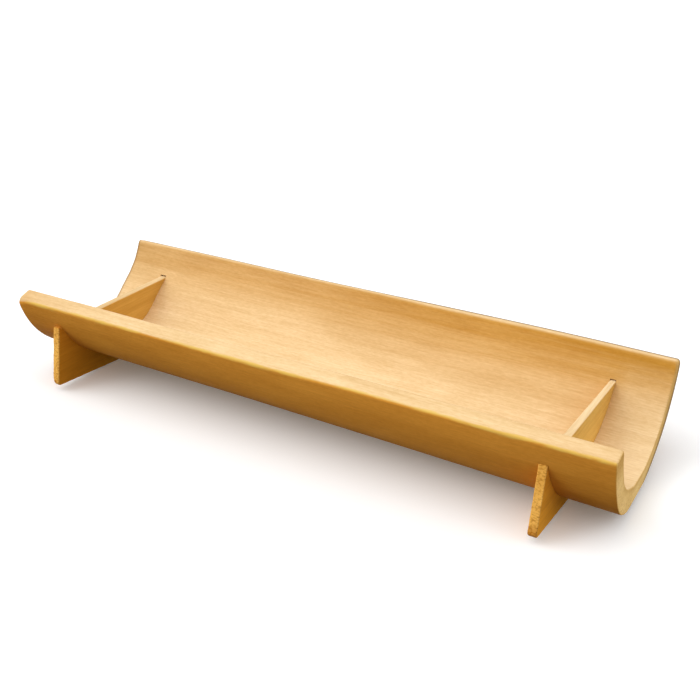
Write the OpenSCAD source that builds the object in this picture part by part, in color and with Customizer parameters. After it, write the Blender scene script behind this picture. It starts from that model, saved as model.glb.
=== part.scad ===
// Half bamboo plate: a length of culm split lengthwise into a trough, standing on two foot boards
// that are pushed up from below into sawn slots across its belly.
// Millimetres. +X runs along the trough to its wide end and +Z is up.
// The origin is on the table, under the middle of the trough.

/* [Trough] */
// Length of the split culm from end to end
trough_l = 250; // [180:1:320]
// Outside diameter of the culm at its left end
culm_d_left = 81.5; // [72:0.5:88]
// Outside diameter of the culm at its right end
culm_d_right = 84; // [72:0.5:88]
// Thickness of the culm wall
wall_t = 7.4; // [5:0.1:10]
// Angle about the culm's axis from straight down to each sawn rim
rim_angle = 80; // [74:0.5:88]
// Gap between the table and the lowest point of the culm's belly
belly_gap = 2.2; // [0.5:0.1:6]
// Radius of the rounding along the outer edge of each rim
rim_round = 1; // [0.6:0.1:2.5]
// Radius of the rounding around the sawn ends
end_round = 0.8; // [0.3:0.1:2]

/* [Foot boards] */
// Distance from the trough's left end to the middle of the left board
left_inset = 18.5; // [12:0.5:60]
// Distance from the trough's right end to the middle of the right board
right_inset = 22.6; // [12:0.2:60]
// Thickness of a board
foot_t = 3.1; // [2:0.1:6]
// Height of a board's top edge above the table
foot_h = 26.8; // [20:0.2:32]
// How far the boards' top corners stand out past the culm wall where it is wider
foot_proud = 0.2; // [0:0.1:3]
// How far a board's end would stand out at the table past its top corner
foot_spread = 5.6; // [1:0.1:8]
// Height of a board's bottom corners above the table
foot_rise = 2.8; // [1:0.1:5]
// Length of a board's bottom edge that rests on the table
foot_flat = 18; // [12:1:56]
// Radius of the worn bottom corners
foot_round = 1.5; // [0.5:0.1:3]

/* [Slots] */
// Radius of the large saw disc that leaves each slot its slightly arched ceiling
saw_r = 320; // [150:5:400]
// Play between a board and its slot, both faces together
slot_play = 0.1; // [0.04:0.02:0.3]
// Play between a board's top edge and the lip of the slot's ceiling
seat_play = 0.05; // [0.02:0.01:0.2]

/* [Hidden] */
$fn = 96;
// How far cutting shapes run past what they cut
cut_margin = 1;
// Share of a rounding's radius at which its centre lies from each face, so that it leaves a faint edge
round_depth = 0.97;
left_r = culm_d_left / 2;
right_r = culm_d_right / 2;
middle_r = (left_r + right_r) / 2;
axis_z = belly_gap + max(left_r, right_r);
taper_angle = atan((right_r - left_r) / trough_l);
left_x = -trough_l / 2 + left_inset;
right_x = trough_l / 2 - right_inset;
trough_colour = [0.93, 0.77, 0.50];
foot_colour = [0.84, 0.64, 0.34];

// Outer radius of the culm at a place along it
function culm_r(x) = middle_r + (right_r - left_r) * x / trough_l;
// Half the culm's outside width at the height of the boards' top edges
function wall_y(x) = sqrt(pow(culm_r(x), 2) - pow(axis_z - foot_h, 2));
// Height of the saw disc's centre, with the slot's ceiling just over the board at the outer wall
function saw_z(x) = foot_h + seat_play - sqrt(pow(saw_r, 2) - pow(wall_y(x), 2));
function unit(v) = v / norm(v);
function flip(p) = [-p[0], p[1]];
// Half the length of a board's top edge, the same on both boards
foot_top = max(wall_y(left_x), wall_y(right_x)) + foot_proud;

// Waste outside an arc that rounds the corner of an outline, between the points before and after it
module corner_waste(before, corner, after, r) {
    u = unit(before - corner);
    v = unit(after - corner);
    inward = unit(u + v);
    half = acos(u * v) / 2;
    centre = corner + inward * round_depth * r / sin(half);
    square_to_u = unit(u * cos(half) - inward);
    square_to_v = unit(v * cos(half) - inward);
    reach = r + cut_margin;
    difference() {
        polygon([
            centre,
            centre + square_to_u * reach,
            centre - inward * reach / sin(half),
            centre + square_to_v * reach
        ]);
        translate(centre) circle(r);
    }
}

// Wall of the culm cut along its axis, as distance from the axis against place along it
module wall_section() {
    half_l = trough_l / 2;
    corners = [
        [left_r - wall_t, -half_l],
        [left_r, -half_l],
        [right_r, half_l],
        [right_r - wall_t, half_l]
    ];
    count = len(corners);
    difference() {
        polygon(corners);
        for (i = [0 : count - 1])
            corner_waste(corners[(i + count - 1) % count], corners[i], corners[(i + 1) % count], end_round);
    }
}

// Split culm with its axis along X, open at the top between the two sawn rims
module split_culm() {
    translate([0, 0, axis_z])
        rotate([0, 90, 0])
            rotate([0, 0, -rim_angle])
                rotate_extrude(angle = 2 * rim_angle) wall_section();
}

// Waste that rounds the outer edge of the back rim from end to end
module rim_waste() {
    translate([0, 0, axis_z])
        rotate([rim_angle, 0, 0])
            translate([0, 0, -middle_r])
                rotate([0, taper_angle, 0])
                    rotate([90, 0, 90])
                        linear_extrude(height = trough_l + 2 * cut_margin, center = true)
                            corner_waste([0, 1], [0, 0], [-1, 0], rim_round);
}

// Saw disc that cuts the slot for the board at a place along the trough
module saw_disc(x) {
    translate([x, 0, saw_z(x)])
        rotate([0, 90, 0])
            cylinder(h = foot_t + slot_play, r = saw_r, center = true);
}

// Outline of a board, seen from its right face
module foot_outline() {
    top = [foot_top, foot_h];
    toe = [foot_top + foot_spread * (1 - foot_rise / foot_h), foot_rise];
    heel = [foot_flat / 2, 0];
    difference() {
        polygon([top, toe, heel, flip(heel), flip(toe), flip(top)]);
        for (side = [0, 1])
            mirror([side, 0])
                corner_waste(top, toe, heel, foot_round);
    }
}

module foot_board(x) {
    translate([x, 0, 0])
        rotate([90, 0, 90])
            linear_extrude(height = foot_t, center = true) foot_outline();
}

module bamboo_trough() {
    color(trough_colour)
        difference() {
            split_culm();
            for (side = [0, 1])
                mirror([0, side, 0]) rim_waste();
            for (x = [left_x, right_x])
                saw_disc(x);
        }
}

module left_foot() {
    color(foot_colour) foot_board(left_x);
}

module right_foot() {
    color(foot_colour) foot_board(right_x);
}

bamboo_trough();
left_foot();
right_foot();
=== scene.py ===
"""Half bamboo plate: a culm split lengthwise, standing on two foot boards pushed into sawn slots.

Laid out as a Blender add-on and run as a script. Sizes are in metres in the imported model's frame:
+X runs along the trough to its wide end, +Z is up, and the origin is on the table under its middle.
"""
import math

import bpy
import numpy as np
from bpy.props import FloatProperty, FloatVectorProperty, PointerProperty
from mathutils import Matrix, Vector


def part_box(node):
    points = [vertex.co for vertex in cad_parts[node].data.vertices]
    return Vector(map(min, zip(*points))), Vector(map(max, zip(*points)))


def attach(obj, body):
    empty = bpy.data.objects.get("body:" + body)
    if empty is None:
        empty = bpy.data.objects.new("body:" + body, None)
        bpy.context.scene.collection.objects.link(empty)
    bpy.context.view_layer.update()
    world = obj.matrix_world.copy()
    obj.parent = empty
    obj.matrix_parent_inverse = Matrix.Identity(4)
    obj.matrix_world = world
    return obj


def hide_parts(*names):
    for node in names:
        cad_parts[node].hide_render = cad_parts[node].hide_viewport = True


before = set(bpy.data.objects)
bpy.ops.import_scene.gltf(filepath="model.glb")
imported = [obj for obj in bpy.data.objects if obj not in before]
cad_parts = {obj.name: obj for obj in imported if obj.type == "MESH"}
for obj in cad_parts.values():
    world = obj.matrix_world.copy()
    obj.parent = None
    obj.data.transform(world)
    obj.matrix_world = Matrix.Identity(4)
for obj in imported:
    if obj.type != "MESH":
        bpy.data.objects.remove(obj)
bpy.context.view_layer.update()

bl_info = {
    "name": "Half Bamboo Plate",
    "version": (1, 0, 0),
    "blender": (4, 5, 0),
    "location": "View3D > Sidebar > Bamboo Plate",
    "description": "Builds a split bamboo trough on two foot boards, with its finish and a soft studio",
    "category": "Add Mesh",
}

MM = 0.001
TROUGH_LOW, TROUGH_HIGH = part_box("bamboo_trough")
LEFT_LOW, LEFT_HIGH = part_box("left_foot")
RIGHT_LOW, RIGHT_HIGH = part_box("right_foot")


def length_property(name, description, millimetres):
    """Length shown in scene units, given in millimetres."""
    return FloatProperty(
        name=name, description=description, default=millimetres * MM, min=0.0, precision=5, unit="LENGTH"
    )


def colour_property(name, description, colour):
    """Linear colour."""
    return FloatVectorProperty(
        name=name, description=description, default=colour, size=3, min=0.0, max=1.0, subtype="COLOR"
    )


def angle_property(name, description, degrees):
    """Angle shown in scene units, given in degrees."""
    return FloatProperty(name=name, description=description, default=math.radians(degrees), subtype="ANGLE")


def level_property(name, description, level):
    """Plain number."""
    return FloatProperty(name=name, description=description, default=level)


def direction_property(name, description, direction):
    """Direction in the model's frame."""
    return FloatVectorProperty(
        name=name, description=description, default=direction, size=3, subtype="DIRECTION"
    )


class TroughSettings(bpy.types.PropertyGroup):
    """Sizes and colours of the split culm"""

    length: length_property("Length", "Length from end to end", (TROUGH_HIGH.x - TROUGH_LOW.x) / MM)
    left_diameter: length_property("Left diameter", "Outside diameter at the left end", 81.5)
    right_diameter: length_property("Right diameter", "Outside diameter at the right end", 84.0)
    wall: length_property("Wall", "Thickness of the culm wall", 7.4)
    belly_gap: length_property("Belly gap", "Gap between the table and the belly", TROUGH_LOW.z / MM)
    rim_angle: angle_property("Rim angle", "Angle about the axis from straight down to each rim", 80.0)
    rim_round: length_property("Rim rounding", "Radius along the outer edge of each rim", 1.0)
    rim_wear: length_property("Rim wear", "How much larger that radius is at the left end", 1.4)
    rim_ease: length_property("Rim easing", "Radius along the inner edge of each rim", 1.4)
    rim_slope: length_property("Rim slope", "How far a rim's face falls from its inner edge outwards", 1.1)
    skin_arris: length_property("Skin arris", "Radius around the outer edge of the sawn ends", 0.3)
    pith_arris: length_property("Pith arris", "Radius around the inner edge of the sawn ends", 0.5)
    end_skew: length_property("End skew", "How far the right end stands out further at the front", 0.6)
    corner_round: length_property("Corner rounding", "Radius where the right end meets the back rim", 1.4)
    left_saw: length_property("Left saw", "Radius of the arched ceiling of the left slot", 900.0)
    right_saw: length_property("Right saw", "Radius of the arched ceiling of the right slot", 400.0)
    slot_width: length_property("Slot width", "Width of each sawn slot", 3.2)
    left_shift: length_property("Left shift", "How far the left slot sits to the right", 0.5)
    left_turn: length_property("Left turn", "How far the left slot runs to the right at the back", 0.6)
    right_turn: length_property("Right turn", "How far the right slot runs to the right at the back", 1.5)
    right_taper: length_property("Right taper", "How much narrower the right slot is at the back", 0.9)
    belly_sag: length_property(
        "Belly sag", "How far the belly's front swells to the right and draws in to the left", 1.15
    )
    belly_plane: length_property("Belly plane", "Height of the planed belly at the left end", 3.9)
    belly_fall: length_property("Belly fall", "How far the planed belly falls to the right end", 0.9)
    front_lift: length_property("Front lift", "How much higher the front rim was left", 0.65)
    back_lift: length_property(
        "Back lift", "How much higher the back rim is at the left end, and lower at the right", 0.55
    )
    back_wave: length_property(
        "Back wave", "How far the back rim dips left of the middle and rises right of it", 0.3
    )
    back_thinning: length_property("Back thinning", "How much the wall thins towards the back rim", 2.0)
    back_swell: length_property(
        "Back swell", "How far the pith side swells inside, low on the back at the left end", 2.2
    )
    wander: length_property("Wander", "How far the hand finished faces wander from true", 0.16)
    pith_colour: colour_property("Pith colour", "Wood on the inside of the wall", (0.905, 0.675, 0.39))
    # Amber colour, which also paints the shade below the rims and on the sawn ends near them
    amber_and_shade_colour: colour_property("Amber and shade colour", "Wood inside below the rims", (0.57, 0.285, 0.047))
    skin_colour: colour_property("Skin colour", "Wood just under the outer skin", (0.77, 0.328, 0.045))
    bundle_colour: colour_property("Bundle colour", "Fibre bundles along the grain", (0.45, 0.19, 0.03))
    # Polish colour, which also paints the highlight along the rims' rounded outer edges
    polish_and_highlight_colour: colour_property("Polish and highlight colour", "Edges polished by handling", (0.76, 0.50, 0.105))
    # Painted shade: darkens the skin low on the belly and towards the ends
    low_shade_colour: colour_property("Low shade colour", "Darkened skin on the belly and ends", (0.46, 0.17, 0.01))
    end_colour: colour_property("End colour", "Wood of the sawn ends", (1.0, 0.67, 0.235))
    # Dark line along the back rim's outer edge and the back of the ends
    line_colour: colour_property("Line colour", "Cut edge of the outer skin", (0.20, 0.10, 0.035))


class BoardSettings(bpy.types.PropertyGroup):
    """Sizes and colours of the two foot boards"""

    thickness: length_property("Thickness", "Thickness of a board", (LEFT_HIGH.x - LEFT_LOW.x) / MM)
    height: length_property("Height", "Height of a board's top edge", LEFT_HIGH.z / MM)
    top_length: length_property("Top length", "Length of a board's straight top edge", 76.60)
    left_rise: length_property("Left rise", "How far the left board's top edge rises to the front", 0.6)
    right_rise: length_property("Right rise", "How far the right board's top edge rises to the front", 1.4)
    front_reach: length_property("Front reach", "How far the front top corners stand out further", 0.5)
    toe_length: length_property("Toe length", "Length of a board across its bottom corners", 86.63)
    toe_rise: length_property("Toe rise", "Height of the bottom corners above the table", 2.8)
    sole_length: length_property("Sole length", "Length of the edge that rests on the table", 18.0)
    toe_round: length_property("Toe rounding", "Radius of the worn bottom corners", 1.5)
    arris: length_property("Arris", "Radius of the eased edges", 0.35)
    chip: length_property("Chip", "Size of the chip at the left board's front toe", 1.0)
    face_colour: colour_property("Face colour", "Wood of the boards", (0.86, 0.36, 0.030))
    # Paler copy of the face colour for the faces inside the trough: painted light
    inside_light_colour: colour_property("Inside light colour", "Wood inside the trough", (0.67, 0.385, 0.088))
    bundle_colour: colour_property("Bundle colour", "Fibre bundles along the grain", (0.36, 0.15, 0.02))
    end_colour: colour_property("End colour", "Wood of the sawn ends", (0.96, 0.52, 0.11))
    pore_colour: colour_property("Pore colour", "Open pores of the sawn ends", (0.42, 0.13, 0.008))
    crest_colour: colour_property("Crest colour", "Wood of the planed top edges", (0.88, 0.67, 0.40))


class StageSettings(bpy.types.PropertyGroup):
    """Floor, light and camera"""

    floor_colour: colour_property("Floor colour", "Floor in the light it throws back", (0.18, 0.18, 0.18))
    seen_colour: colour_property("Seen colour", "Floor where the camera sees it", (0.935, 0.97, 1.0))
    glow_colour: colour_property("Glow colour", "Glow that softens the shadow", (1.0, 0.77, 0.56))
    glow: level_property("Glow", "Strength of that glow", 0.13)
    sky_light: level_property("Sky light", "Strength of the even light", 0.61)
    top_light: level_property("Top light", "Strength of the soft lamp overhead", 0.90)
    left_light: level_property("Left light", "Strength of the soft lamp on the left", 1.56)
    right_light: level_property("Right light", "Strength of the soft lamp on the right", 0.97)
    spread: angle_property("Spread", "Angle that each lamp fills", 60.0)
    top_from: direction_property("Top from", "Direction of the lamp overhead", (-0.298, -0.342, 0.891))
    left_from: direction_property("Left from", "Direction of the left lamp", (-0.785, -0.453, 0.423))
    right_from: direction_property("Right from", "Direction of the right lamp", (0.846, 0.275, 0.456))
    lens: level_property("Lens", "Focal length in millimetres", 50.515)
    distance: length_property("Distance", "Distance from the camera to its target", 378.339)
    azimuth: angle_property("Azimuth", "Camera's turn from the front towards the right end", 30.033)
    elevation: angle_property("Elevation", "Camera's angle above the table", 25.986)
    target: FloatVectorProperty(
        name="Target", description="Point that the camera looks at", default=(0.010203, 0.0, 0.029278),
        size=3, subtype="TRANSLATION", unit="LENGTH"
    )


# Surfaces

def unit(vectors):
    """Vectors brought to length one along the last axis."""
    return vectors / np.linalg.norm(vectors, axis=-1, keepdims=True)


def bell(distance, reach):
    """Bell curve: one at no distance, and a little over a third at the reach on either side."""
    return np.exp(-((distance / reach) ** 2))


def ramp(value, start, run):
    """Even rise from nought at a start to one a run further, held beyond both; a run may be negative."""
    return np.clip((value - start) / run, 0.0, 1.0)


def ripple(places, wavelength, seed, waves=20):
    """Smooth irregularity, mostly between -1 and 1.

    The sum of plane sine waves about one wavelength long, in seeded directions and phases, is divided by
    the root of twice their number.
    """
    rng = np.random.default_rng(seed)
    directions = unit(rng.normal(size=(waves, places.shape[-1])))
    pitch = rng.uniform(0.6, 1.6, (waves, 1)) * 2.0 * math.pi / wavelength
    phases = rng.uniform(0.0, 2.0 * math.pi, waves)
    return np.sin(places @ (directions * pitch).T + phases).sum(axis=-1) / math.sqrt(2.0 * waves)


def block_shell(keep):
    """Outer faces of a block of cells, as quads of its corner grid.

    A face lies wherever a kept cell meets a missing one or the outside, turned away from the kept cell.
    Returns the flat indices of the corners in use, and the quads that number them.
    """
    corners = np.arange(np.prod(np.array(keep.shape) + 1)).reshape(np.array(keep.shape) + 1)
    quads = []
    for axis in range(3):
        order = [(axis + step) % 3 for step in range(3)]
        grid = corners.transpose(order)
        cells = np.pad(keep.transpose(order), ((1, 1), (0, 0), (0, 0)))
        around = [grid[:, :-1, :-1], grid[:, 1:, :-1], grid[:, 1:, 1:], grid[:, :-1, 1:]]
        upward = cells[:-1] & ~cells[1:]
        downward = ~cells[:-1] & cells[1:]
        quads.append(np.stack([side[upward] for side in around], axis=-1))
        quads.append(np.stack([side[downward] for side in reversed(around)], axis=-1))
    used, faces = np.unique(np.concatenate(quads), return_inverse=True)
    return used, faces.reshape(-1, 4)


def outward(points, faces):
    """Quads turned to face out: the signed volume of the fan of tetrahedra from the origin is positive."""
    a, b, c, d = (points[faces[:, corner]] for corner in range(4))
    volume = np.einsum("ij,ij->", np.cross(a, b), c) + np.einsum("ij,ij->", np.cross(a, c), d)
    return faces if volume > 0.0 else faces[:, ::-1]


def spread(stops, pitch):
    """Stations from the first stop to the last, evenly spaced between stops and at most a pitch apart."""
    gaps = np.diff(stops)
    counts = np.maximum(np.ceil(gaps / pitch), 2).astype(int)
    runs = [
        np.linspace(low, low + gap, count, endpoint=False) for low, gap, count in zip(stops, gaps, counts)
    ]
    return np.concatenate(runs + [stops[-1:]])


def culm_radius(trough, along):
    """Outside radius of the culm, which grows evenly from the left end to the right."""
    middle = (trough.left_diameter + trough.right_diameter) / 4.0
    return middle + (trough.right_diameter - trough.left_diameter) / 2.0 * along / trough.length


def axis_height(trough):
    """Height of the culm's axis, with the wide end's belly at its gap over the table."""
    return trough.belly_gap + max(trough.left_diameter, trough.right_diameter) / 2.0


def slot_middles():
    """Places along X of the two boards and their slots."""
    return np.array([(LEFT_LOW.x + LEFT_HIGH.x) / 2.0, (RIGHT_LOW.x + RIGHT_HIGH.x) / 2.0])


def slot_angle(trough, board_height, saw, radius, depth):
    """Angle about the culm's axis at which the arched ceiling of a slot lies, at a depth in the wall.

    The ceiling is an arc of the saw's radius. It meets the outer wall at the height of the board's top
    edge, and the law of cosines between the culm's axis, the arc's centre and the wall gives the angle.
    """
    drop = axis_height(trough) - board_height
    half_width = np.sqrt(radius**2 - drop**2)
    reach = drop + np.sqrt(saw**2 - half_width**2)
    ring = radius - depth
    return np.arccos((ring**2 + reach**2 - saw**2) / (2.0 * ring * reach))


def slot_shift(trough, along, across):
    """How far the slots and their boards stand to the right of square cuts.

    A slot's turn grows evenly from the front to the back, and its taper does so on the left face alone.
    Both fade along the trough as a bell on each side of the slot.
    """
    left, right = slot_middles()
    run = 70.0 * MM
    share_in_middle = 0.54
    fade = 9.0 * MM
    to_back = across / run + share_in_middle
    shift = 0.0 * along
    for middle, offset, turn, taper in (
        (left, trough.left_shift, trough.left_turn, 0.0),
        (right, 0.0, trough.right_turn, trough.right_taper),
    ):
        aside = along - middle
        to_left = np.clip(0.5 - aside / trough.slot_width, 0.0, 1.0)
        beside = np.maximum(np.abs(aside) - 0.5 * trough.slot_width, 0.0)
        shift = shift + (offset + (turn + taper * to_left) * to_back) * bell(beside, fade)
    return shift


def skin_shape(trough, along, angle):
    """How far the skin stands out from the even culm.

    On the front the lower wall goes along a shallow curve from drawn in on the left to swollen on the
    right, and on the back half as far the other way. Whatever hangs below the belly's plane is drawn up
    to it.
    """
    swell_angle = 0.45
    swell_spread = 0.35
    soft = 0.25 * MM
    to_right = 2.0 * along / trough.length
    side = np.where(angle < 0.0, to_right + 0.2 + 0.2 * to_right**2, -0.5 * to_right)
    swell = trough.belly_sag * side * bell(np.abs(angle) - swell_angle, swell_spread)
    radius = culm_radius(trough, along) + swell
    height = trough.belly_plane - 0.5 * trough.belly_fall * (to_right + 1.0)
    plane = (axis_height(trough) - height) / np.maximum(np.cos(angle), 0.2)
    return swell - soft * np.logaddexp(0.0, (radius - plane) / soft)


def pith_shape(trough, along, angle):
    """How far the pith side stands out from the even bore.

    Towards the back rim the wall is scraped thinner along a rising power of the angle, and lower on the
    back a swell shaped like a bell stands in, full at the left end and gone at the right.
    """
    thin_from = 58.0
    thin_run = 22.0
    swell_angle = 42.0
    swell_spread = 16.0
    degrees = np.degrees(angle)
    thinner = trough.back_thinning * ramp(degrees, thin_from, thin_run) ** 1.6
    to_left = 0.5 - along / trough.length
    return thinner - trough.back_swell * to_left * bell(degrees - swell_angle, swell_spread)


def rim_fall(trough, along):
    """How far a rim's face falls from pith to skin: fully on the left, and less than half on the right."""
    ease_middle = 20.0 * MM
    ease_run = 14.0 * MM
    return trough.rim_slope * (0.70 - 0.30 * np.tanh((along - ease_middle) / ease_run))


def rim_rows(trough, place):
    """Profile across a rim: distance below the rim's plane and depth below the skin, from skin to pith.

    A quarter circle, larger near the worn left end, rounds the outer edge, a straight run crosses the rim,
    and a small one eases the inner edge. All of it slopes down from pith to skin. Rows run along the last
    axis, and places along X down the first.
    """
    worn_reach = 4.0 * MM
    outer = np.linspace(0.0, 0.5 * math.pi, 9)
    inner = np.linspace(0.0, 0.5 * math.pi, 5)
    rounding = trough.rim_round + trough.rim_wear * bell(place + 0.5 * trough.length, worn_reach)
    face = rounding + (trough.wall - trough.rim_ease - rounding) * np.linspace(0.0, 1.0, 8)[1:-1]
    ease = 0.0 * place + trough.rim_ease
    drop = np.concatenate(
        [rounding * (1.0 - np.sin(outer)), 0.0 * face, ease * (1.0 - np.cos(inner))], axis=1
    )
    depth = np.concatenate(
        [rounding * (1.0 - np.cos(outer)), face, trough.wall - ease * (1.0 - np.sin(inner))], axis=1
    )
    return drop + rim_fall(trough, place) * (1.0 - depth / trough.wall), depth


def trough_block(trough, boards):
    """Wall of the culm as a block of cells over place along X, depth below the skin and angle.

    The cells of the two slots are left out, and towards each end the block shrinks along a quarter circle.
    Returns each corner's place, angle, depth and share of the sawn end, and the quads of the shell.
    """
    half = trough.length / 2.0
    slots = slot_middles()
    slot_half = trough.slot_width / 2.0
    clear = 1.5 * MM
    lip_gap = 0.4 * MM
    pitch = 1.8 * MM
    lips = np.sort(np.concatenate([slots - slot_half, slots + slot_half]))
    edges = np.sort(np.concatenate([lips - lip_gap * np.array([1, -1, 1, -1]), lips]))
    middle = spread(np.concatenate([[clear - half], edges, [half - clear]]), pitch)
    turn = np.linspace(0.0, 0.5 * math.pi, 7)
    end_turn = np.concatenate([turn[::-1], 0.0 * middle, turn])[:, None, None]
    end_side = np.concatenate([0.0 * turn - 1.0, 0.0 * middle, 0.0 * turn + 1.0])[:, None, None]
    place = np.concatenate([0.0 * turn - half, middle, 0.0 * turn + half])[:, None]

    play = 0.05 * MM
    drop, depth = rim_rows(trough, place)
    radius = culm_radius(trough, place)
    rim = (trough.rim_angle - drop / (radius - depth))[..., None]
    board_top = boards.height + play
    raised = board_top + np.interp(place, slots, [boards.left_rise, boards.right_rise])
    saw = np.interp(place, slots, [trough.left_saw, trough.right_saw])
    front = slot_angle(trough, raised, saw, radius, depth)[..., None]
    back = slot_angle(trough, board_top, saw, radius, depth)[..., None]
    rise = np.linspace(0.0, 1.0, 13) ** 1.6
    belly = back * np.linspace(0.0, 1.0, 101)[1:-1] - front * np.linspace(1.0, 0.0, 101)[1:-1]
    front_wall = -rim - (front - rim) * rise
    back_wall = (rim + (back - rim) * rise)[..., ::-1]
    angle = np.concatenate([front_wall, belly, back_wall], axis=-1)

    corner_reach = 2.0 * MM
    place = place[..., None]
    radius = radius[..., None]
    depth = np.broadcast_to(depth[..., None], angle.shape)
    arc = (trough.rim_angle - np.abs(angle)) * (radius - depth)
    near_rim = np.where((angle > 0.0) & (place > 0.0), 1.0, 0.3) * bell(arc, corner_reach)
    skin_round = trough.skin_arris + (trough.corner_round - trough.skin_arris) * near_rim
    pith_round = trough.pith_arris + (trough.corner_round - trough.pith_arris) * near_rim
    rounding = skin_round + (pith_round - skin_round) * (depth / trough.wall)
    shrink = 1.0 - np.cos(end_turn)
    along = np.where(end_side == 0.0, place, end_side * (half - rounding * (1.0 - np.sin(end_turn))))
    depth = shrink * skin_round + depth * (1.0 - shrink * (skin_round + pith_round) / trough.wall)
    angle = angle * (1.0 - shrink * skin_round / (trough.rim_angle * radius))
    cut = np.broadcast_to(np.sin(end_turn) ** 2, angle.shape)

    keep = np.ones(np.array(angle.shape) - 1, dtype=bool)
    cell_place = (place[:-1, 0] + place[1:, 0]) / 2.0
    in_slot = (np.abs(cell_place - slots) < slot_half).any(axis=1)
    first = rise.size - 1
    keep[in_slot, :, first:-first] = False
    used, faces = block_shell(keep)
    along, angle, depth, cut = (grid.reshape(-1)[used] for grid in (along, angle, depth, cut))
    return along, angle, depth, cut, faces


def trough_points(trough, along, angle, depth):
    """Where the corners of the wall lie.

    A point lies at the skin's radius less its depth, turned by its angle about the axis. Ripples drawn out
    along the trough give the hand finish and fade at the slots. The rims are bent to their planed heights
    along the eighth power of the angle, the right end stands out a little at the front, and the slots shift
    with the boards.
    """
    slow_stretch = 5.0
    scraped_stretch = 16.0
    rim_apart = 0.05
    slot_calm = 7.0 * MM
    skew_fade = 12.0 * MM
    radius = culm_radius(trough, along)
    share = depth / trough.wall
    around = angle * radius
    slow = np.stack([along / slow_stretch, around], axis=-1)
    scraped = np.stack([along / scraped_stretch, around], axis=-1)
    sway = np.stack([along, np.sign(angle) * rim_apart], axis=-1)
    swell = 0.5 * (1.0 - share) * ripple(slow, 24.0 * MM, 3) + share * ripple(slow, 20.0 * MM, 5)
    swell = swell + 0.35 * share * ripple(scraped, 7.0 * MM, 8)
    calm = 1.0 - bell(along[:, None] - slot_middles(), slot_calm).sum(axis=1)
    to_right = along / trough.length
    back_plane = trough.back_wave * np.sin(2.0 * math.pi * to_right) - 2.0 * trough.back_lift * to_right
    planed = np.where(angle < 0.0, trough.front_lift, back_plane + 0.9 * rim_fall(trough, along))
    near_rim = (np.abs(angle) / trough.rim_angle) ** 8
    lift = (planed + trough.wander * ripple(sway, 110.0 * MM, 11)) * near_rim
    bent = angle + np.sign(angle) * lift / radius
    ring = radius - depth + trough.wander * calm * swell
    ring = ring + (1.0 - share) * skin_shape(trough, along, angle)
    ring = ring + share * pith_shape(trough, along, angle)
    at_front = np.clip(-2.0 * angle - 1.0, 0.0, 1.0)
    skew = trough.end_skew * at_front * np.exp((along - trough.length / 2.0) / skew_fade)
    across = ring * np.sin(bent)
    placed = along + skew + slot_shift(trough, along, across)
    return np.stack([placed, across, axis_height(trough) - ring * np.cos(bent)], axis=-1)


def trough_layers(trough, along, angle, depth, cut):
    """Place in the grain in millimetres, and the share of each effect in the wall's finish.

    The shares are bells and ramps over the distances to the skin, the ends and the rims' sloping faces.
    """
    half = trough.length / 2.0
    share = depth / trough.wall
    radius = culm_radius(trough, along)
    fall = rim_fall(trough, along)
    arc = np.maximum((trough.rim_angle - np.abs(angle)) * (radius - depth) - fall * (1.0 - share), 0.0)
    end_gap = half - np.abs(along)
    steep = np.abs(angle)

    # Polish and painted highlight on the edges of the ends, and in waves along the outer edges of the rims
    to_face = np.minimum(np.minimum(depth, trough.wall - depth), arc)
    end_edge = bell(np.hypot(end_gap, to_face) + 0.5 * MM, 0.7 * MM)
    wave = 0.4 * np.cos(2.0 * math.pi * (along + 5.0 * MM) / (94.0 * MM))
    polish_and_highlight_reach = MM * (1.0 + wave + bell(half - along, 9.0 * MM))
    rim_edge = bell(arc, polish_and_highlight_reach) * bell(np.maximum(depth - 0.4 * MM, 0.0), 0.7 * MM)

    # Dark line along the back rim's outer edge and the back of both ends
    rim_depth = 2.6 * MM + 2.0 * MM * fall / trough.rim_slope
    rim_line = bell(arc, MM) * ramp(depth, rim_depth, -MM)
    end_depth = 2.8 * MM + 1.6 * MM * ramp(angle, 0.3, 0.4)
    right_line = 0.85 * cut * ramp(depth, end_depth, -0.5 * end_depth)
    end_line = np.where(along < 0.0, bell(end_gap, 0.8 * MM), right_line)

    # Amber colour and painted shade inside below the rims and on the sawn ends near them and along their
    # inner edge, and faint amber on the rims
    to_right = 0.5 + 0.5 * np.tanh(along / (45.0 * MM))
    right_bay = ramp(along, slot_middles()[1], 6.0 * MM)
    amber_and_shade_reach = MM * (20.0 + 4.0 * to_right - 7.0 * right_bay)
    amber = share**2 * bell(arc, amber_and_shade_reach) * (0.7 + 0.3 * to_right)
    end_reach = np.where(angle < 0.0, 9.0 * MM, 32.0 * MM)
    end_amber_and_shade = np.maximum(0.65 * bell(arc, end_reach), 0.5 * bell(trough.wall - depth, 1.4 * MM))
    amber = (amber * (1.0 - cut) + cut * end_amber_and_shade) * ramp(arc, 0.0, 0.6 * MM)
    rim_amber = (0.19 + 0.25 * bell(along + half, 9.0 * MM)) * bell(arc, MM)

    # Painted shade on the skin: low at both ends, along the belly, and up the wall towards the left
    stain = 1.3 * bell(end_gap, 32.0 * MM) * bell(steep - 0.45, 0.6)
    belly_shade = 0.8 - 0.3 * ramp(along, 0.0, 60.0 * MM)
    stain = np.maximum(stain, belly_shade * ramp(steep, 0.88, -0.2))
    stain = np.maximum(stain, 0.5 * ramp(along, 0.0, -half) * ramp(steep, 1.3, -0.3))
    return {
        "grain": np.stack([along, angle * radius, depth], axis=-1) / MM,
        "edge": np.maximum(end_edge, rim_edge),
        "cut": cut,
        "line": np.maximum(rim_line, end_line) * np.clip(5.0 * angle - 0.4, 0.0, 1.0),
        "amber": np.maximum(amber, rim_amber),
        "stain": np.minimum(stain, 1.0) * (1.0 - cut) * (1.0 - share),
    }


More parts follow.
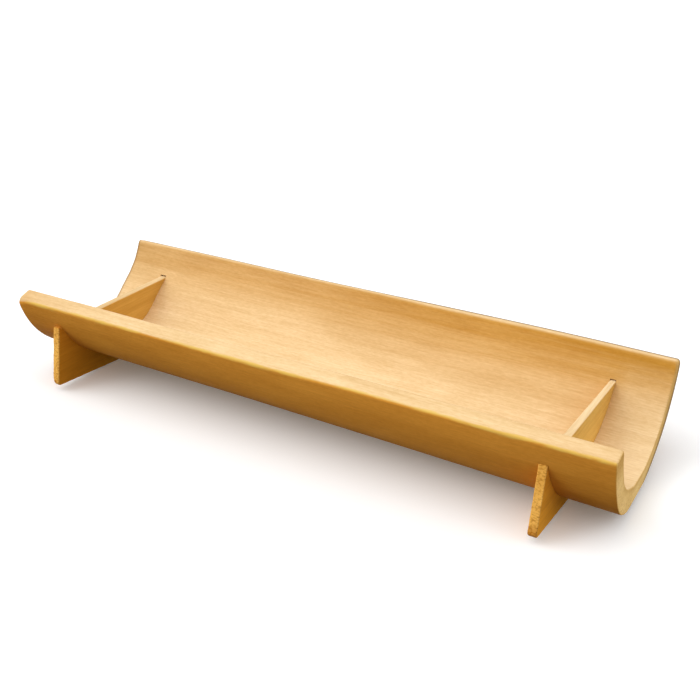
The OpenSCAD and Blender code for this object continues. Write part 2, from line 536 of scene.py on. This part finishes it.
def trough_surface(trough, boards):
    """Points, quads and layers of the split culm."""
    along, angle, depth, cut, faces = trough_block(trough, boards)
    points = trough_points(trough, along, angle, depth)
    return points, outward(points, faces), trough_layers(trough, along, angle, depth, cut)


def rounded_loop(corners, radii, steps):
    """Closed outline with each corner cut to an arc, as points, outward normals and distances along it.

    Each arc's centre lies on its corner's bisector, and its normals turn evenly from side to side.
    """
    back = unit(np.roll(corners, 1, axis=0) - corners)
    ahead = unit(np.roll(corners, -1, axis=0) - corners)
    inward = unit(back + ahead)
    half = np.arccos((inward * back).sum(axis=1))[:, None]
    centre = corners + inward * radii[:, None] / np.sin(half)
    start = unit(back * np.cos(half) - inward)
    end = unit(ahead * np.cos(half) - inward)
    sweep = (math.pi - 2.0 * half)[..., None]
    share = np.linspace(0.0, 1.0, steps)[None, :, None]
    normals = start[:, None] * np.sin((1.0 - share) * sweep) + end[:, None] * np.sin(share * sweep)
    normals = unit(normals)
    points = (centre[:, None] + radii[:, None, None] * normals).reshape(-1, 2)
    normals = normals.reshape(-1, 2)
    points = np.concatenate([points, points[:1]])
    normals = np.concatenate([normals, normals[:1]])
    run = np.concatenate([[0.0], np.cumsum(np.linalg.norm(np.diff(points, axis=0), axis=1))])
    return points, normals, run


def patch(bottom, top, left, right, across, up):
    """Sheet stretched between four edges: both blends of opposite edges less the blend of its corners."""
    u = across[None, None, :, None]
    v = up[None, :, None, None]
    ruled = (1.0 - v) * bottom[:, None] + v * top[:, None]
    sided = (1.0 - u) * left[:, :, None] + u * right[:, :, None]
    low = (1.0 - u) * bottom[:, None, :1] + u * bottom[:, None, -1:]
    high = (1.0 - u) * top[:, None, :1] + u * top[:, None, -1:]
    return ruled + sided - (1.0 - v) * low - v * high


def crowded(count, share):
    """Steps from 0 to 1, part even and part crowded at both ends along a half cosine."""
    even = np.linspace(0.0, 1.0, count)
    return (1.0 - share) * even + share * (0.5 - 0.5 * np.cos(math.pi * even))


def board_edges(boards, chip, rise, seed, across, up):
    """Bottom, top, front and back edges of a board, each as layers through its thickness.

    The outline is a rounded hexagon in the YZ plane, its top edge rising a little to the front. Next to the
    faces the layers are inset along a quarter circle, whose radius wanders with the wear and grows at the
    chipped toe, and short ripples roughen the edges.
    """
    top = boards.top_length / 2.0
    toe = boards.toe_length / 2.0
    sole = boards.sole_length / 2.0
    corners = np.array(
        [
            [-toe, boards.toe_rise],
            [-sole, 0.0],
            [sole, 0.0],
            [toe, boards.toe_rise],
            [top, boards.height],
            [-top - boards.front_reach, boards.height + rise],
        ]
    )
    sole_round = 6.0 * MM
    top_round = 0.2 * MM
    radii = np.array([boards.toe_round, sole_round, sole_round, boards.toe_round, top_round, top_round])
    steps = 24
    points, normals, run = rounded_loop(corners, radii, steps)
    front_toe, back_toe, back_top, front_top = run[np.array([0, 3, 4, 5]) * steps + steps // 2]
    total = run[-1]
    planed = 0.015 * MM
    sawn = 0.05 * MM
    rough_wave = 0.9 * MM
    wear_wave = 5.0 * MM
    chip_reach = 2.2 * MM
    walks = (
        (front_toe + (back_toe - front_toe) * across, planed),
        (front_top + (back_top - front_top) * across, planed),
        (front_toe + (front_top - total - front_toe) * up, sawn),
        (back_toe + (back_top - back_toe) * up, sawn),
    )
    turn = np.linspace(0.0, 0.5 * math.pi, 5)
    flat = np.linspace(0.0, 1.0, 9)[1:-1]
    inset_share = np.concatenate([1.0 - np.sin(turn), 0.0 * flat, 1.0 - np.sin(turn[::-1])])[:, None]
    edges = []
    for number, (walk, rough) in enumerate(walks):
        walk = np.mod(walk, total)
        ring = np.stack([np.interp(walk, run, points[:, axis]) for axis in (0, 1)], axis=-1)
        normal = unit(np.stack([np.interp(walk, run, normals[:, axis]) for axis in (0, 1)], axis=-1))
        worn = 0.35 * ripple(ring, wear_wave, seed)
        from_toe = np.hypot(ring[:, 0] - corners[0, 0], ring[:, 1] - corners[0, 1])
        low_radius = boards.arris * (1.0 + worn) + chip * bell(from_toe, chip_reach)
        high_radius = boards.arris * (1.0 - worn)
        low_side = -0.5 * boards.thickness + low_radius * (1.0 - np.cos(turn))[:, None]
        high_side = 0.5 * boards.thickness - high_radius * (1.0 - np.cos(turn[::-1]))[:, None]
        through = low_side[-1:] + (high_side[:1] - low_side[-1:]) * flat[:, None]
        sideways = np.concatenate([low_side, through, high_side])
        count = sideways.shape[0]
        inset = inset_share * np.where(np.arange(count)[:, None] < count // 2, low_radius, high_radius)
        solid = np.concatenate([sideways[..., None], ring - inset[..., None] * normal], axis=-1)
        solid[..., 1:] += (rough * ripple(solid, rough_wave, seed + number))[..., None] * normal
        edges.append(solid)
    bottom, crest, front, back = edges
    for edge, column in ((front, 0), (back, -1)):
        edge[:, 0] = bottom[:, column]
        edge[:, -1] = crest[:, column]
    return edges


def board_layers(boards, trough, middle, rise, tones, seed, solid, end_gap, rim_gap):
    """Place in the grain in millimetres, and the share of each effect in a board's finish.

    The sawn ends fade over the first columns of the grid, the crest is the top edge between its corners,
    and painted shade lies on the sole and climbs the sawn toes.
    """
    side, across, height = solid.T
    wide = np.abs(side) / (0.5 * boards.thickness)
    climb = rise * np.clip(0.5 - across / boards.top_length, 0.0, 1.0)
    top = np.clip((height - boards.height - climb) / (0.3 * MM) + 1.2, 0.0, 1.0)
    within = np.clip((boards.top_length / 2.0 - np.abs(across)) / (1.5 * MM) - 1.5, 0.0, 1.0)
    crest = top * within
    corner = top * (1.0 - within)
    sawn = bell(end_gap, 0.7)
    end_tone = tones["end"] * (1.0 - 0.06 * ramp(height, 17.0 * MM, 8.0 * MM))
    tone = tones["face"] + (end_tone - tones["face"]) * sawn
    tone = tone + (tones["crest"] - tone) * crest - 0.25 * corner
    sawn = np.maximum(sawn, 0.8 * corner)
    # Painted shade climbing the sawn toes from the table
    toe_shade = tones["toe_shade_level"] * sawn * ramp(height, boards.toe_rise + 5.4 * MM, -4.0 * MM)
    bore = culm_radius(trough, middle) - 0.5 * trough.wall
    from_axis = np.hypot(across, height - axis_height(trough))
    return {
        "grain": np.stack([across, 0.6 * side, height], axis=-1) / MM + seed * 17.3,
        "edge": ramp(wide, 0.75, 0.25) * bell(np.minimum(end_gap, rim_gap), 2.0),
        "cut": sawn,
        "tone": tone,
        # Share inside the trough, where the faces are painted paler as the light there
        "inside": np.clip((bore - from_axis) / MM + 0.5, 0.0, 1.0),
        # Painted shade on the sole, near the table, and on the lower toes
        "sole": np.maximum(ramp(height, 1.2 * MM, -1.2 * MM), toe_shade),
        "crest": crest,
    }


def board_surface(boards, trough, middle, chip, rise, tones, seed):
    """Points, quads and layers of one foot board.

    The board is a block of cells stretched between its four edges, turned and tapered with its slot.
    """
    across = crowded(151, 0.75)
    up = crowded(65, 0.6)
    grid = patch(*board_edges(boards, chip, rise, seed, across, up), across, up)
    shape = np.array(grid.shape[:3])
    used, faces = block_shell(np.ones(shape - 1, dtype=bool))
    solid = grid.reshape(-1, 3)[used]
    placed = middle + solid[:, 0]
    placed = placed + slot_shift(trough, placed, solid[:, 1])
    points = np.stack([placed, solid[:, 1], solid[:, 2]], axis=-1)
    row, column = np.unravel_index(used, shape)[1:]
    end_gap = np.minimum(column, shape[2] - 1 - column)
    rim_gap = np.minimum(row, shape[1] - 1 - row)
    layers = board_layers(boards, trough, middle, rise, tones, seed, solid, end_gap, rim_gap)
    return points, outward(points, faces), layers


def make_piece(name, points, faces, layers, material):
    """Mesh object at the origin, smooth but for its sharp edges, with its layers as point attributes."""
    mesh = bpy.data.meshes.new(name)
    mesh.from_pydata(points, [], faces)
    for key, values in layers.items():
        is_vector = values.ndim == 2
        attribute = mesh.attributes.new(key, "FLOAT_VECTOR" if is_vector else "FLOAT", "POINT")
        attribute.data.foreach_set("vector" if is_vector else "value", values.astype(np.float32).ravel())
    mesh.polygons.foreach_set("use_smooth", np.ones(len(faces), dtype=bool))
    mesh.set_sharp_from_angle(angle=math.radians(38.0))
    mesh.materials.append(material)
    piece = bpy.data.objects.new(name, mesh)
    bpy.context.scene.collection.objects.link(piece)
    return piece


# Finishes

def add(tree, kind, inputs=None, **settings):
    """New node with its settings, and its inputs set to values or linked from sockets."""
    node = tree.nodes.new(kind)
    for key, value in settings.items():
        setattr(node, key, value)
    for key, value in (inputs or {}).items():
        socket = node.inputs[key]
        if isinstance(value, bpy.types.NodeSocket):
            tree.links.new(value, socket)
        else:
            socket.default_value = value
    return node


def maths(tree, operation, *values):
    """Output of a Math node."""
    return add(tree, "ShaderNodeMath", dict(enumerate(values)), operation=operation).outputs[0]


def times(tree, first, second):
    """Product of two values."""
    return maths(tree, "MULTIPLY", first, second)


def times_plus(tree, first, second, third):
    """Product of two values, plus a third."""
    return maths(tree, "MULTIPLY_ADD", first, second, third)


def vectors(tree, operation, *values):
    """Vector output of a Vector Math node."""
    return add(tree, "ShaderNodeVectorMath", dict(enumerate(values)), operation=operation).outputs[0]


def eased(tree, value, low, high, to_low=0.0, to_high=1.0):
    """Value carried smoothly from one range to another and held at both ends."""
    inputs = {0: value, 1: low, 2: high, 3: to_low, 4: to_high}
    return add(tree, "ShaderNodeMapRange", inputs, interpolation_type="SMOOTHSTEP").outputs[0]


def blended(tree, share, first, second, blend_type="MIX"):
    """Colour output of a Mix node."""
    inputs = {0: share, 6: first, 7: second}
    return add(tree, "ShaderNodeMix", inputs, data_type="RGBA", blend_type=blend_type).outputs[2]


def noise(tree, place, scale, detail, roughness):
    """Outputs of noise at a place in millimetres, with its cells per millimetre along each axis."""
    cells = vectors(tree, "MULTIPLY", place, scale)
    inputs = {"Vector": cells, "Scale": 1.0, "Detail": detail, "Roughness": roughness}
    return add(tree, "ShaderNodeTexNoise", inputs).outputs


def new_group(name, inputs, outputs):
    """Node group with named sockets; returns its tree, its input node and its output node."""
    tree = bpy.data.node_groups.new(name, "ShaderNodeTree")
    for label, kind in inputs.items():
        tree.interface.new_socket(label, in_out="INPUT", socket_type="NodeSocket" + kind)
    for label in outputs:
        tree.interface.new_socket(label, in_out="OUTPUT", socket_type="NodeSocketFloat")
    return tree, tree.nodes.new("NodeGroupInput"), tree.nodes.new("NodeGroupOutput")


def bamboo_grain_group():
    """Grain of bamboo at a place given in millimetres along it, around it and into it.

    The place first wanders a little. Cells drawn out along the grain give the fibre bundles and the gaps
    between them, fine drawn out noise the fibres, broad noise the bands, soft noise the clouds and short
    noise the crinkled figure.
    """
    name = "bamboo_grain"
    if name in bpy.data.node_groups:
        return bpy.data.node_groups[name]
    labels = ["Bundles", "Gaps", "Shades", "Fibres", "Bands", "Clouds", "Figure"]
    tree, source, result = new_group(name, {"Grain": "Vector", "Pitch": "Float", "Length": "Float"}, labels)
    grain = source.outputs["Grain"]
    wobble = noise(tree, grain, (0.014, 0.06, 0.06), 2.0, 0.5)["Color"]
    wobble = vectors(tree, "MULTIPLY", vectors(tree, "SUBTRACT", wobble, (0.5, 0.5, 0.5)), (0.0, 3.2, 1.2))
    wandered = vectors(tree, "ADD", grain, wobble)
    pitch = source.outputs["Pitch"]
    cell = add(tree, "ShaderNodeCombineXYZ", {0: source.outputs["Length"], 1: pitch, 2: pitch}).outputs[0]
    cells = add(
        tree,
        "ShaderNodeTexVoronoi",
        {"Vector": vectors(tree, "DIVIDE", wandered, cell), "Scale": 1.0, "Randomness": 0.9},
    ).outputs
    outputs = {
        "Bundles": eased(tree, cells["Distance"], 0.50, 0.16),
        "Gaps": eased(tree, cells["Distance"], 0.42, 0.78),
        "Shades": add(tree, "ShaderNodeSeparateColor", {0: cells["Color"]}).outputs[0],
        "Fibres": noise(tree, wandered, (0.08, 1.5, 1.5), 4.0, 0.66)["Fac"],
        "Bands": noise(tree, wandered, (0.0065, 0.26, 0.26), 3.0, 0.55)["Fac"],
        "Clouds": noise(tree, grain, (0.028, 0.075, 0.075), 2.0, 0.5)["Fac"],
        "Figure": noise(tree, wandered, (0.45, 1.2, 1.2), 3.0, 0.6)["Fac"],
    }
    for label, socket in outputs.items():
        tree.links.new(socket, result.inputs[label])
    return tree


def worn_edge_and_highlight_group():
    """Share of polish and painted highlight on an edge, broken up along it by noise a few millimetres long.
    """
    name = "worn_edge"
    if name in bpy.data.node_groups:
        return bpy.data.node_groups[name]
    tree, source, result = new_group(name, {"Edge": "Float", "Grain": "Vector"}, ["Wear"])
    broken = noise(tree, source.outputs["Grain"], (0.10, 0.5, 0.5), 3.0, 0.6)["Fac"]
    worn = maths(tree, "ADD", source.outputs["Edge"], times_plus(tree, broken, 2.0, -1.0))
    tree.links.new(eased(tree, worn, 0.40, 1.15), result.inputs["Wear"])
    return tree


def toned(tree, colour, tone):
    """Colour made darker or lighter by a tone around one, turning warmer where it darkens."""
    warm = {0: maths(tree, "POWER", tone, 0.7), 1: tone, 2: maths(tree, "POWER", tone, 1.6)}
    return blended(tree, 1.0, colour, add(tree, "ShaderNodeCombineColor", warm).outputs[0], "MULTIPLY")


def by_ray(tree, plain, seen):
    """Mix of two shaders: the second for rays from the camera, straight or by reflection or glass."""
    path = add(tree, "ShaderNodeLightPath").outputs
    mirrored = maths(tree, "MAXIMUM", path["Is Glossy Ray"], path["Is Transmission Ray"])
    straight = maths(tree, "MAXIMUM", path["Is Camera Ray"], mirrored)
    inputs = {0: straight, 1: plain.outputs[0], 2: seen.outputs[0]}
    return add(tree, "ShaderNodeMixShader", inputs).outputs[0]


def layer(tree, name, output="Fac"):
    """Socket of one of the piece's own layers."""
    return add(tree, "ShaderNodeAttribute", attribute_name=name).outputs[output]


def rgba(colour):
    """Linear colour with full alpha."""
    return (*colour, 1.0)


def new_material(name):
    """Material with an empty tree but for its Principled shader; returns both and the tree."""
    material = bpy.data.materials.new(name)
    material.use_nodes = True
    tree = material.node_tree
    return material, tree, tree.nodes["Principled BSDF"]


def bamboo_sockets(tree, pitch, length):
    """What both finishes start from: the place in the grain, the sawn share, the wood, and the wear with
    its painted highlight.
    """
    grain = layer(tree, "grain", "Vector")
    inputs = {"Grain": grain, "Pitch": pitch, "Length": length}
    wood = add(tree, "ShaderNodeGroup", inputs, node_tree=bamboo_grain_group()).outputs
    inputs = {"Edge": layer(tree, "edge"), "Grain": grain}
    wear_and_highlight = add(tree, "ShaderNodeGroup", inputs, node_tree=worn_edge_and_highlight_group()).outputs["Wear"]
    return grain, layer(tree, "cut"), wood, wear_and_highlight


def matt_wood(tree, shader, colour, rough, height, strength, relief):
    """Link the colour, roughness and fine relief of bare wood, which hardly shines, to its shader."""
    tree.links.new(colour, shader.inputs["Base Color"])
    tree.links.new(rough, shader.inputs["Roughness"])
    shader.inputs["Specular IOR Level"].default_value = 0.01
    bump = add(tree, "ShaderNodeBump", {"Strength": strength, "Distance": relief, "Height": height})
    tree.links.new(bump.outputs[0], shader.inputs["Normal"])


def culm_finish(trough):
    """Split culm: pale pith side with amber and painted shade below its rims, ochre skin side with painted
    shade towards the belly, fine grain, polished edges with painted highlights.
    """
    material, tree, shader = new_material("culm_bamboo")
    grain, cut, wood, wear_and_highlight = bamboo_sockets(tree, pitch=0.95, length=60.0)
    depth = add(tree, "ShaderNodeSeparateXYZ", {0: grain}).outputs[2]
    skin = eased(tree, depth, 0.7, 0.2)
    colour = blended(tree, skin, rgba(trough.pith_colour), rgba(trough.skin_colour))
    colour = blended(tree, times(tree, cut, 0.8), colour, rgba(trough.end_colour))
    # Amber colour below the rims and on the ends, partly painted shade
    amber = times(tree, layer(tree, "amber"), eased(tree, wood["Bands"], 0.25, 0.70, 1.06, 0.90))
    colour = blended(tree, amber, colour, rgba(trough.amber_and_shade_colour))
    # Painted shade darkening the skin towards the belly and the ends
    stain = times(tree, layer(tree, "stain"), eased(tree, wood["Clouds"], 0.25, 0.75, 1.0, 0.7))
    colour = blended(tree, stain, colour, rgba(trough.low_shade_colour))

    bands = eased(tree, wood["Bands"], 0.30, 0.72, 0.95, 1.02)
    clouds = eased(tree, wood["Clouds"], 0.3, 0.75, 0.92, 1.04)
    fibres = eased(tree, wood["Fibres"], 0.28, 0.72, 0.91, 1.05)
    figure = eased(tree, wood["Figure"], 0.25, 0.75, 0.92, 1.05)
    colour = toned(tree, colour, times(tree, times(tree, bands, clouds), times(tree, fibres, figure)))

    to_skin = eased(tree, depth, 6.5, 0.8, 0.10, 0.42)
    strength = times_plus(tree, wood["Shades"], 0.10, times(tree, cut, to_skin))
    colour = blended(tree, times(tree, wood["Bundles"], strength), colour, rgba(trough.bundle_colour))
    # Polish, with the painted highlight of the rounded edges
    colour = blended(tree, times(tree, wear_and_highlight, 0.8), colour, rgba(trough.polish_and_highlight_colour))
    # Dark line along the back rim's outer edge and the back of the ends
    colour = blended(tree, times(tree, layer(tree, "line"), 0.85), colour, rgba(trough.line_colour))

    rough = times_plus(tree, wood["Fibres"], 0.18, 0.42)
    rough = times_plus(tree, wear_and_highlight, -0.10, rough)
    rough = times_plus(tree, cut, 0.12, rough)
    height = times_plus(tree, wood["Bundles"], -0.35, wood["Fibres"])
    matt_wood(tree, shader, colour, rough, height, 0.5, 0.06 * MM)
    return material


def board_finish(boards):
    """Foot boards: ochre faces with streaks, paler on top, painted paler inside the trough as the light
    there, speckled golden ends, painted shade near the table.
    """
    material, tree, shader = new_material("board_bamboo")
    cut, wood, wear_and_highlight = bamboo_sockets(tree, pitch=0.52, length=45.0)[1:]
    crest = layer(tree, "crest")
    # Faces inside the trough painted paler, as the light there
    colour = blended(tree, layer(tree, "inside"), rgba(boards.face_colour), rgba(boards.inside_light_colour))
    colour = blended(tree, cut, colour, rgba(boards.end_colour))
    colour = blended(tree, crest, colour, rgba(boards.crest_colour))
    bands = eased(tree, wood["Bands"], 0.30, 0.72, 0.93, 1.04)
    fibres = eased(tree, wood["Fibres"], 0.25, 0.75, 0.88, 1.07)
    clouds = eased(tree, wood["Clouds"], 0.3, 0.75, 0.93, 1.05)
    tone = times(tree, times(tree, layer(tree, "tone"), clouds), times(tree, bands, fibres))
    colour = toned(tree, colour, tone)
    colour = blended(tree, times(tree, wear_and_highlight, 0.35), colour, rgba(boards.end_colour))

    streaks = times(tree, wood["Bundles"], times_plus(tree, wood["Shades"], 0.16, 0.02))
    streaks = times(tree, streaks, times_plus(tree, crest, -0.8, 1.0))
    pores = times(tree, wood["Gaps"], times_plus(tree, wood["Shades"], 0.5, 0.15))
    dark = add(tree, "ShaderNodeMix", {0: cut, 2: streaks, 3: pores}).outputs[0]
    # Painted shade near the table, on the sole and the sawn toes
    dark = times_plus(tree, layer(tree, "sole"), 0.55, dark)
    hollow = blended(tree, cut, rgba(boards.bundle_colour), rgba(boards.pore_colour))
    colour = blended(tree, dark, colour, hollow)

    rough = times_plus(tree, wood["Fibres"], 0.2, 0.45)
    rough = times_plus(tree, cut, 0.15, rough)
    height = times_plus(tree, wood["Bundles"], times_plus(tree, cut, 0.5, -0.3), wood["Fibres"])
    matt_wood(tree, shader, colour, rough, height, 0.6, 0.08 * MM)
    return material


def floor_finish(stage):
    """Matt floor, white where the camera sees it lit, with the shadow softened by a faint glow."""
    material, tree, shader = new_material("pale_floor")
    tree.nodes.remove(shader)
    seen = add(tree, "ShaderNodeBsdfDiffuse", {"Color": rgba(stage.seen_colour)})
    glow = add(tree, "ShaderNodeEmission", {"Color": rgba(stage.glow_colour), "Strength": stage.glow})
    bright = add(tree, "ShaderNodeAddShader", {0: seen.outputs[0], 1: glow.outputs[0]})
    plain = add(tree, "ShaderNodeBsdfDiffuse", {"Color": rgba(stage.floor_colour)})
    tree.links.new(by_ray(tree, plain, bright), tree.nodes["Material Output"].inputs["Surface"])
    return material


# Operators

class MakeTrough(bpy.types.Operator):
    """Make the split culm with its rims, sawn ends and two slots"""

    bl_idname = "bamboo_plate.make_trough"
    bl_label = "Make trough"

    def execute(self, context):
        scene = context.scene
        material = culm_finish(scene.plate_trough)
        piece = make_piece("split_culm", *trough_surface(scene.plate_trough, scene.plate_boards), material)
        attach(piece, "root")
        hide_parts("bamboo_trough")
        return {"FINISHED"}


class MakeBoards(bpy.types.Operator):
    """Make the two foot boards"""

    bl_idname = "bamboo_plate.make_boards"
    bl_label = "Make foot boards"

    def execute(self, context):
        boards = context.scene.plate_boards
        trough = context.scene.plate_trough
        material = board_finish(boards)
        left, right = slot_middles()
        # The two boards are the same wood; their tones differ to paint the light and shade that each one
        # gets
        left_tones = {"face": 0.92, "end": 1.06, "crest": 0.84, "toe_shade_level": 0.5}
        right_tones = {"face": 1.18, "end": 0.97, "crest": 0.92, "toe_shade_level": 1.2}
        for node, middle, chip, rise, tones, seed in (
            ("left_foot", left, boards.chip, boards.left_rise, left_tones, 21),
            ("right_foot", right, 0.25 * boards.chip, boards.right_rise, right_tones, 34),
        ):
            surface = board_surface(boards, trough, middle, chip, rise, tones, seed)
            piece = make_piece(node + "_board", *surface, material)
            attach(piece, "root")
            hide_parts(node)
        return {"FINISHED"}


class MakeStage(bpy.types.Operator):
    """Make the floor, the soft light and the camera"""

    bl_idname = "bamboo_plate.make_stage"
    bl_label = "Make stage"

    def execute(self, context):
        scene = context.scene
        stage = scene.plate_stage
        reach = 4.0
        corners = reach * np.array([[-1.0, -1.0, 0.0], [1.0, -1.0, 0.0], [1.0, 1.0, 0.0], [-1.0, 1.0, 0.0]])
        floor = make_piece("floor", corners, np.array([[0, 1, 2, 3]]), {}, floor_finish(stage))

        for name, strength, source in (
            ("top", stage.top_light, stage.top_from),
            ("left", stage.left_light, stage.left_from),
            ("right", stage.right_light, stage.right_from),
        ):
            light = bpy.data.lights.new(name + "_light", "SUN")
            light.energy = strength
            light.angle = stage.spread
            lamp = bpy.data.objects.new(name + "_lamp", light)
            lamp.rotation_euler = (-Vector(source)).to_track_quat("-Z", "Y").to_euler()
            scene.collection.objects.link(lamp)

        world = bpy.data.worlds.new("even_sky")
        world.use_nodes = True
        tree = world.node_tree
        tree.nodes.clear()
        white = (1.0, 1.0, 1.0, 1.0)
        even = add(tree, "ShaderNodeBackground", {"Color": white, "Strength": stage.sky_light})
        seen = add(tree, "ShaderNodeBackground", {"Color": white, "Strength": 1.0})
        out = add(tree, "ShaderNodeOutputWorld", {"Surface": by_ray(tree, even, seen)})
        out.is_active_output = True
        scene.world = world

        lens = bpy.data.cameras.new("camera")
        lens.sensor_fit = "HORIZONTAL"
        lens.sensor_width = 36.0
        lens.lens = stage.lens
        lens.clip_start = 0.01
        camera = bpy.data.objects.new("camera", lens)
        level = math.cos(stage.elevation)
        direction = Vector(
            (math.sin(stage.azimuth) * level, -math.cos(stage.azimuth) * level, math.sin(stage.elevation))
        )
        camera.location = Vector(stage.target) + stage.distance * direction
        camera.rotation_euler = (-direction).to_track_quat("-Z", "Y").to_euler()
        scene.collection.objects.link(camera)
        scene.camera = camera
        scene.view_settings.view_transform = "Standard"
        return {"FINISHED"}


class PlatePanel(bpy.types.Panel):
    """Sizes, colours and buttons of the bamboo plate"""

    bl_idname = "VIEW3D_PT_bamboo_plate"
    bl_label = "Bamboo Plate"
    bl_space_type = "VIEW_3D"
    bl_region_type = "UI"
    bl_category = "Bamboo Plate"

    def draw(self, context):
        groups = (
            (MakeTrough, context.scene.plate_trough),
            (MakeBoards, context.scene.plate_boards),
            (MakeStage, context.scene.plate_stage),
        )
        for operator, settings in groups:
            box = self.layout.box()
            for key in settings.__annotations__:
                box.prop(settings, key)
            box.operator(operator.bl_idname)


CLASSES = (TroughSettings, BoardSettings, StageSettings, MakeTrough, MakeBoards, MakeStage, PlatePanel)


def register():
    """Add the classes and the scene's settings."""
    for cls in CLASSES:
        bpy.utils.register_class(cls)
    bpy.types.Scene.plate_trough = PointerProperty(type=TroughSettings)
    bpy.types.Scene.plate_boards = PointerProperty(type=BoardSettings)
    bpy.types.Scene.plate_stage = PointerProperty(type=StageSettings)


def unregister():
    """Remove the scene's settings and the classes."""
    del bpy.types.Scene.plate_stage
    del bpy.types.Scene.plate_boards
    del bpy.types.Scene.plate_trough
    for cls in reversed(CLASSES):
        bpy.utils.unregister_class(cls)


def main():
    """Build the plate and its stage."""
    register()
    bpy.ops.bamboo_plate.make_trough()
    bpy.ops.bamboo_plate.make_boards()
    bpy.ops.bamboo_plate.make_stage()


if __name__ == "__main__":
    main()
